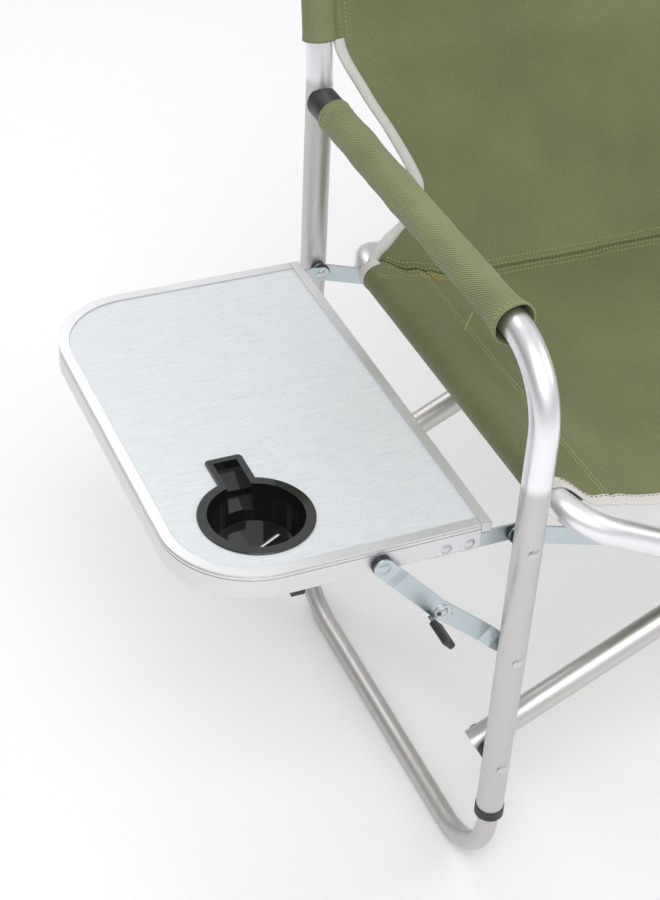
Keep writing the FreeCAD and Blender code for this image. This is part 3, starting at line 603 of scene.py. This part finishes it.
def seat_tape(name, columns, wide, rear=False):
    """Binding folded over the seat's front or rear edge, around the rails."""
    rows = []
    profile = [(1.15, wide - wide * k / 6) for k in range(7)]
    profile += [(0.85, -0.7), (0.0, -1.1), (-0.85, -0.7)]
    profile += [(-1.15, wide * k / 6) for k in range(7)]
    for lift, inward in (profile[::-1] if rear else profile):
        row = []
        for kind, value in columns:
            x = value if kind == "top" else (rail_l if kind.endswith("_l") else rail_r)
            place = seat_rear(x) - inward if rear else seat_front(x) + inward
            row.append(seat_point((kind, value), 1.0 if rear else 0.0, lift, place))
        rows.append(row)
    return cloth(name, rows, tape_mat, TAPE_T)


front_tape = seat_tape("seat_front_tape", COLUMNS, 11.0)
LEFT_END = [c for c in COLUMNS if c[0].endswith("_l") or (c[0] == "top" and c[1] < rail_l + 3)]
RIGHT_END = [c for c in COLUMNS if c[0].endswith("_r") or (c[0] == "top" and c[1] > rail_r - 3)]
rear_tape_l = seat_tape("left_sleeve_tape", LEFT_END, 10.0, True)
rear_tape_r = seat_tape("right_sleeve_tape", RIGHT_END, 10.0, True)


SEAM_LIFT = 0.85               # of a row of stitches, above the middle of the cloth
TACK_LIFT = 0.95


def on_seat(x, y, lift):
    """A point above the seat's top layer."""
    return at(x, y, seat_top(x, (y - seat_front(x)) / (seat_rear(x) - seat_front(x))) + lift)


def front_line(inset, lift):
    """A line across the seat, inset behind its front edge."""
    xs = [rail_l + 8 + (rail_r - rail_l - 16) * k / 150 for k in range(151)]
    return [on_seat(x, seat_front(x) + inset, lift) for x in xs]


def rear_line(inset):
    """A line across the seat, inset in front of its rear edge."""
    xs = [rail_l + 8 + (rail_r - rail_l - 16) * k / 150 for k in range(151)]
    return [on_seat(x, seat_rear(x) - inset, SEAM_LIFT) for x in xs]


def side_line(x):
    """A line along the seat, from just behind its front edge to its rear edge."""
    front_y, depth = seat_front(x), seat_rear(x) - seat_front(x)
    return [on_seat(x, front_y + depth * (0.035 + 0.95 * k / 100), SEAM_LIFT) for k in range(101)]


tape_seam = stitches("tape_stitches", [front_line(8.6, 1.6)], brown_thread)
seat_seams = stitches("seat_stitches", [
    side_line(rail_l + SEAM_IN), side_line(rail_l + SEAM_IN - 6), side_line(rail_r - SEAM_IN),
    side_line(rail_r - SEAM_IN + 6), rear_line(4.0), rear_line(11.0)], pale_thread)


def bar_tack(x_rail, side):
    """A dense zigzag across the seam, at the rear corner of the seat, and the rows it locks."""
    x0 = x_rail + side * 49
    line = []
    for k in range(81):
        step = k / 80
        x = x0 + side * (2.4 * math.sin(step * 44) + 3 * step)
        line.append(on_seat(x, seat_rear(x) - 1 - 17 * step, TACK_LIFT))
    rows = [line]
    for row in range(4):
        line = []
        for k in range(0, 25, 2):
            x = x0 + side * (2 + k)
            line.append(on_seat(x, seat_rear(x) - 4 - 4.4 * row + 0.1 * k * (row - 1), TACK_LIFT))
        rows.append(line)
    return rows


corner_rows = []
for inset in (0, 4.5):
    corner_rows.append([on_seat(x, table_value(CORNER_SEAM, x) - inset, TACK_LIFT)
                        for x in range(28, 105, 2)])
corner_seam = stitches("seat_corner_seam", corner_rows, pale_thread)
tacks = stitches("seat_corner_tacks", bar_tack(rail_l, 1) + bar_tack(rail_r, -1), gold_thread,
                 radius=0.0005)


# ---------------------------------------------------------------- back
POST_TOP_Z = 790.0
POST_Y = (POST_LOW_Y - FRONT_Y) * 1000
TABLE_Z = 429.0                        # the post leans by LOW_LEAN from here to KINK_Z
KINK_Z = 612.0                         # and by TOP_LEAN from there up
LOW_LEAN = math.radians(2.05)
TOP_LEAN = math.radians(12.0)


def post_y(z):
    """Y of a rear post's axis at height z."""
    low = POST_Y + max(0.0, min(z, KINK_Z) - TABLE_Z) * math.tan(LOW_LEAN)
    return low + max(0.0, z - KINK_Z) * math.tan(TOP_LEAN)


BACK_EDGE = 14.2                       # where the back meets the post sleeves, from a post's axis
# The back's side edge, as (z, distance from the post's axis), and its depth, as (z, y).
EDGE = [(405, 31), (424, 36), (436, 46), (449, 59), (460, 73), (470, 83), (485, 89), (500, 89), (545, 66),
        (590, 38), (640, BACK_EDGE), (800, BACK_EDGE)]
DEPTH = [(405, SEAT_REAR - 1), (417, SEAT_REAR), (435, SEAT_REAR + 11), (460, SEAT_REAR + 28), (500, 424),
         (560, 441), (612, 452), (644, 463), (800, 497.5)]
BACK_ROWS = 90
BACK_COLUMNS = 84


def back_point(t, s, lift=0.0):
    """t from 0 at the seat seam to 1 at the top hem, s from 0 at the left edge to 1 at the right."""
    z = SEAT_LOW + (POST_TOP_Z - SEAT_LOW) * t
    edge = table_value(EDGE, z)
    x = edge + (SPAN * 1000 - 2 * edge) * s
    seam_z = seat_top(max(rail_l + 5, min(rail_r - 5, x)), 1.0)
    low = (1 - t) ** 7
    y = table_value(DEPTH, z)
    bow = max(0.0, math.sin(math.pi * s)) ** 0.8
    y += 20 * bow * ease((t - 0.08) / 0.4) + 6 * (1 - bow) * ease(t / 0.1) * ease((0.45 - t) / 0.3)
    y += (seat_rear(max(rail_l, min(rail_r, x))) - SEAT_REAR) * low
    fold = noise.noise(Vector((x * 0.011, z * 0.013, 1.7)))
    y += 2.2 * fold * ease(t / 0.12) * ease((1 - t) / 0.1)
    pull = math.sin((x * 0.9 + z * 1.3) * 0.05) * 0.7 * ease((0.35 - t) / 0.3) * ease(t / 0.08)
    return at(x, y + pull - lift, z + (seam_z - SEAT_LOW) * low)


back_rows = [[back_point(i / BACK_ROWS, j / BACK_COLUMNS) for j in range(BACK_COLUMNS + 1)]
             for i in range(BACK_ROWS + 1)]
back = cloth("back_panel", back_rows, green, PANEL_T)


FREE_EDGE = 0.60                       # share of the back's height below the post sleeves


def back_tape(name, side):
    """Binding folded over the free part of the back's edge, below the post sleeves."""
    rows = []
    wide = 10.0
    steps = [i / 80 * FREE_EDGE for i in range(81)]
    profile = [(1.1, wide), (1.15, wide / 2), (1.1, 0.6), (0.0, -1.0), (-1.1, 0.6), (-1.15, wide / 2),
               (-1.1, wide)]
    for lift, inward in profile:
        row = []
        for t in steps:
            z = SEAT_LOW + (POST_TOP_Z - SEAT_LOW) * t
            width = SPAN * 1000 - 2 * table_value(EDGE, z)
            s = inward / width
            row.append(back_point(t, s if side < 0 else 1 - s, lift))
        rows.append(row)
    return cloth(name, rows, tape_mat, TAPE_T)


tape_l = back_tape("left_back_tape", -1)
tape_r = back_tape("right_back_tape", 1)


def back_line(points):
    return [back_point(t, s, SEAM_LIFT) for t, s in points]


edge_rows = []
for inset in (0.015, 0.027):
    edge_rows.append(back_line([(FREE_EDGE + 0.38 * k / 60, inset) for k in range(61)]))
    edge_rows.append(back_line([(FREE_EDGE + 0.38 * k / 60, 1 - inset) for k in range(61)]))
for height in (0.010, 0.022, 0.972, 0.984):
    edge_rows.append(back_line([(height, 0.03 + 0.94 * k / 120) for k in range(121)]))
back_seams = stitches("back_stitches", edge_rows, pale_thread)


def post_sleeve(name, x):
    """The back's sleeve around a post's leaning top."""
    rows = []
    low = 642.0
    for i in range(49):
        t = i / 48
        z = low + (POST_TOP_Z - low) * t
        row = []
        for k in range(36):
            a = 2 * math.pi * k / 36
            wave = noise.noise(Vector((x * 0.01 + math.cos(a) * 0.8, z * 0.035, math.sin(a) * 0.8)))
            hem = 0.7 * ease((0.05 - t) / 0.05) + 0.5 * ease((t - 0.96) / 0.04)
            r = loop + 0.45 + 0.55 * max(-0.5, wave) + hem
            row.append(at(x + r * math.cos(a), post_y(z) + r * math.sin(a) * math.cos(TOP_LEAN),
                          z - r * math.sin(a) * math.sin(TOP_LEAN)))
        rows.append(row)
    return cloth(name, rows, green_painted_lit, SLEEVE_T, wrap=True)


back_sleeve_l = post_sleeve("left_back_sleeve", 0.0)
back_sleeve_r = post_sleeve("right_back_sleeve", SPAN * 1000)

# ---------------------------------------------------------------- armrest covers
ARM_FRONT = 63.0
ARM_REAR = POST_Y - 32.0
COVER_DROP = 0.2                       # the cover hangs a little below the arm's axis
arm_z = ARM_Z * 1000


def arm_radius(y, a, x):
    """Loose cloth around the arm: diagonal creases, a rolled hem at each end."""
    t = (y - ARM_FRONT) / (ARM_REAR - ARM_FRONT)
    twist = math.sin(3 * a + y * 0.085 + x) * 0.28 + math.sin(5 * a - y * 0.16) * 0.16
    wave = noise.noise(Vector((math.cos(a) * 0.9 + x, y * 0.028, math.sin(a) * 0.9)))
    hem = 3.0 * ease((30 - (y - ARM_FRONT)) / 30) + 0.8 * ease((10 - (ARM_REAR - y)) / 10)
    groove = -0.4 * math.exp(-((y - ARM_FRONT - 4.0) / 1.3) ** 2)
    under = 0.8 * max(0.0, -math.sin(a)) * max(0.0, math.sin(math.pi * t)) ** 0.3
    return loop + 1.7 + twist + 0.8 * wave + hem + groove + under


def arm_cover(name, x):
    """The armrest's cloth tube."""
    rows = []
    for i in range(141):
        y = ARM_FRONT + (ARM_REAR - ARM_FRONT) * i / 140
        row = []
        for k in range(48):
            a = -2 * math.pi * k / 48
            r = max(loop + 0.05, arm_radius(y, a, x * 0.01))
            slant = 1.2 * math.cos(a) * (1 if i == 0 else 0)
            row.append(at(x + r * math.cos(a), y + slant, arm_z - COVER_DROP + r * math.sin(a)))
        rows.append(row)
    return cloth(name, rows, green_painted_lit, SLEEVE_T, wrap=True)


def on_cover(x, y, a, lift):
    """A point above the cover's cloth, at angle a round the arm."""
    r = arm_radius(y, a, x * 0.01) + lift
    return at(x + r * math.cos(a), y, arm_z - COVER_DROP + r * math.sin(a))


def arm_rings(name, x):
    """Stitch rows round the hems and along the seam under the arm."""
    lines = []
    for y in (ARM_FRONT + 2.0, ARM_FRONT + 5.0, ARM_REAR - 9.5):
        lines.append([on_cover(x, y, 2 * math.pi * k / 60, 0.75) for k in range(61)])
    under = math.radians(-78)
    lines.append([on_cover(x, ARM_FRONT + (ARM_REAR - ARM_FRONT) * k / 80, under, 0.65) for k in range(81)])
    return stitches(name, lines, pale_thread)


arm_l = arm_cover("left_arm_cover", 0.0)
arm_r = arm_cover("right_arm_cover", SPAN * 1000)
rings_l = arm_rings("left_arm_stitches", 0.0)
rings_r = arm_rings("right_arm_stitches", SPAN * 1000)


def loose_thread():
    """A cut end of sewing thread standing off the left cover's hem."""
    path = [(-15.8, 103, 577.0), (-17.2, 103.6, 572.0), (-18.6, 104.2, 567.0), (-20.0, 104.8, 562.0),
            (-21.3, 105.2, 557.0)]
    radius, flat = 0.38, 0.2
    points, faces = [], []
    for i, p in enumerate(path):
        for k in range(6):
            a = k * math.pi / 3
            points.append(at(p[0] + radius * math.cos(a), p[1] + flat * math.sin(a),
                             p[2] + radius * math.sin(a)))
        if i:
            for k in range(6):
                n = (k + 1) % 6
                faces.append((6 * i - 6 + k, 6 * i - 6 + n, 6 * i + n, 6 * i + k))
    faces.append(tuple(range(5, -1, -1)))
    faces.append(tuple(range(len(points) - 6, len(points))))
    return make_object("left_arm_loose_thread", points, faces, pale_thread)


tail = loose_thread()


# ---------------------------------------------------------------- brace dimples
def dimples():
    """Pressed dimples on the lower brace straps, just below each elbow."""
    lo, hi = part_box("brace_elbow_rivets")
    elbow_x, elbow_z = (lo.x + hi.x) / 2, (lo.z + hi.z) / 2
    leg_x, leg_z = LEFT_X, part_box("front_lower_brace")[0].z + 0.0085
    way = Vector((leg_x - elbow_x, 0, leg_z - elbow_z)).normalized()
    centre = Vector((elbow_x, 0, elbow_z)) + way * 0.0125
    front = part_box("front_lower_brace")
    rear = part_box("rear_lower_brace")
    points, faces = [], []
    for y, outward in ((front[1].y - 0.002, -1), (rear[0].y + 0.002, 1)):
        base = len(points)
        for ring in range(5):
            a = ring / 4 * math.pi / 2
            r, h = 0.0026 * math.cos(a), 0.0011 * math.sin(a)
            for k in range(20):
                b = 2 * math.pi * k / 20
                points.append(Vector((centre.x + r * math.cos(b), y + outward * (h - 0.0002),
                                      centre.z + r * math.sin(b))))
        for ring in range(4):
            for k in range(20):
                n = (k + 1) % 20
                a0, a1 = base + ring * 20 + k, base + ring * 20 + n
                face = (a0, a1, a1 + 20, a0 + 20)
                faces.append(face if outward < 0 else face[::-1])
    return make_object("brace_dimples", points, faces, head_metal)


dots = dimples()

# ---------------------------------------------------------------- bodies and cloth
on_seat_pieces = [front_tape, rear_tape_l, rear_tape_r, tape_seam, seat_seams, tacks, corner_seam]
on_back_pieces = [tape_l, tape_r, back_seams]
for piece in (seat, *on_seat_pieces):
    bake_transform(piece)
for piece in (back, *on_back_pieces):
    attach(piece, "left_frame")
    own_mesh(piece)
for piece in (back_sleeve_l, arm_l, rings_l, tail):
    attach(piece, "left_frame")
for piece in (back_sleeve_r, arm_r, rings_r):
    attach(piece, "right_frame")
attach(dots, "lower_braces")

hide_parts("seat_cloth")
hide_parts("back_cloth")
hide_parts("left_arm_sleeve")
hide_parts("right_arm_sleeve")

# ---------------------------------------------------------------- studio
floor_mat, _, floor_bsdf = new_material("studio_floor")
floor_bsdf.inputs["Base Color"].default_value = (0.96, 0.96, 0.965, 1.0)
floor_bsdf.inputs["Roughness"].default_value = 0.9
SIZE, BELOW = 9.0, -0.0005
corners = [(-SIZE, -SIZE, BELOW), (SIZE, -SIZE, BELOW), (SIZE, SIZE, BELOW), (-SIZE, SIZE, BELOW)]
floor = make_object("studio_floor", corners, [(0, 1, 2, 3)], floor_mat)

world = bpy.data.worlds.new("studio")
scene.world = world
world.use_nodes = True
sky = world.node_tree
background = sky.nodes["Background"]
coords = sky.nodes.new("ShaderNodeTexCoord")
parts = sky.nodes.new("ShaderNodeSeparateXYZ")
sky.links.new(coords.outputs["Generated"], parts.inputs[0])
ramp = sky.nodes.new("ShaderNodeValToRGB")
ramp.color_ramp.elements[0].position = 0.0
ramp.color_ramp.elements[0].color = (0.55, 0.55, 0.56, 1)
ramp.color_ramp.elements[1].position = 1.0
ramp.color_ramp.elements[1].color = (0.85, 0.85, 0.86, 1)
for place, level in ((0.12, 0.42), (0.30, 0.72), (0.48, 0.95), (0.80, 0.95)):
    stop = ramp.color_ramp.elements.new(place)
    stop.color = (level, level, level * 1.01, 1)
sky.links.new(parts.outputs["Z"], ramp.inputs["Fac"])
sky.links.new(ramp.outputs["Color"], background.inputs["Color"])


def towards(axis, amount):
    """Amount times how far a direction points against an axis."""
    against = math_node(sky, "MULTIPLY", parts.outputs[axis], -1.0)
    return math_node(sky, "MULTIPLY", math_node(sky, "MAXIMUM", against, 0.0), amount)


lit = math_node(sky, "ADD", towards("Y", 0.45), 0.78)
strength = math_node(sky, "SUBTRACT", lit, towards("X", 0.36))
sky.links.new(strength, background.inputs["Strength"])


def area_light(name, place, target, width, height, power):
    data = bpy.data.lights.new(name, "AREA")
    data.shape = "RECTANGLE"
    data.size, data.size_y = width, height
    data.energy = power
    lamp = bpy.data.objects.new(name, data)
    scene.collection.objects.link(lamp)
    lamp.location = place
    lamp.rotation_mode = "QUATERNION"
    lamp.rotation_quaternion = (Vector(target) - Vector(place)).to_track_quat("-Z", "Y")


area_light("key_light", (-0.9, -1.9, 2.9), (0, 0, 0.4), 1.6, 1.6, 42)
area_light("rear_light", (-0.6, 2.3, 2.6), (0, 0, 0.5), 2.2, 1.2, 10)
area_light("side_light", (2.6, -0.8, 2.0), (0, 0, 0.5), 1.2, 1.8, 10)
area_light("strip_a", (-0.55, 1.25, 2.2), (-0.30, -0.16, 0.40), 0.10, 0.9, 3)
area_light("strip_b", (-0.20, 1.30, 2.2), (-0.30, -0.16, 0.40), 0.10, 0.9, 3)

# ---- camera: in front of the chair and to its left, looking down at it ----
AZIMUTH, ELEVATION, ROLL = (math.radians(v) for v in (-25.26, 37.65, 3.6))
look = Vector((-math.sin(AZIMUTH) * math.cos(ELEVATION), math.cos(AZIMUTH) * math.cos(ELEVATION),
               -math.sin(ELEVATION)))
right = Vector((math.cos(AZIMUTH), math.sin(AZIMUTH), 0))
up = right.cross(look)
side_axis = right * math.cos(ROLL) + up * math.sin(ROLL)
up_axis = up * math.cos(ROLL) - right * math.sin(ROLL)
camera_data = bpy.data.cameras.new("camera")
camera_data.sensor_width = 36.0
camera_data.lens = 77.1
camera_data.clip_start, camera_data.clip_end = 0.05, 50.0
camera = bpy.data.objects.new("camera", camera_data)
scene.collection.objects.link(camera)
turn = Matrix((side_axis, up_axis, -look)).transposed().to_4x4()
camera.matrix_world = Matrix.Translation(at(-657.6, -1008.4, 1416.7)) @ turn
scene.camera = camera
scene.view_settings.view_transform = "Standard"
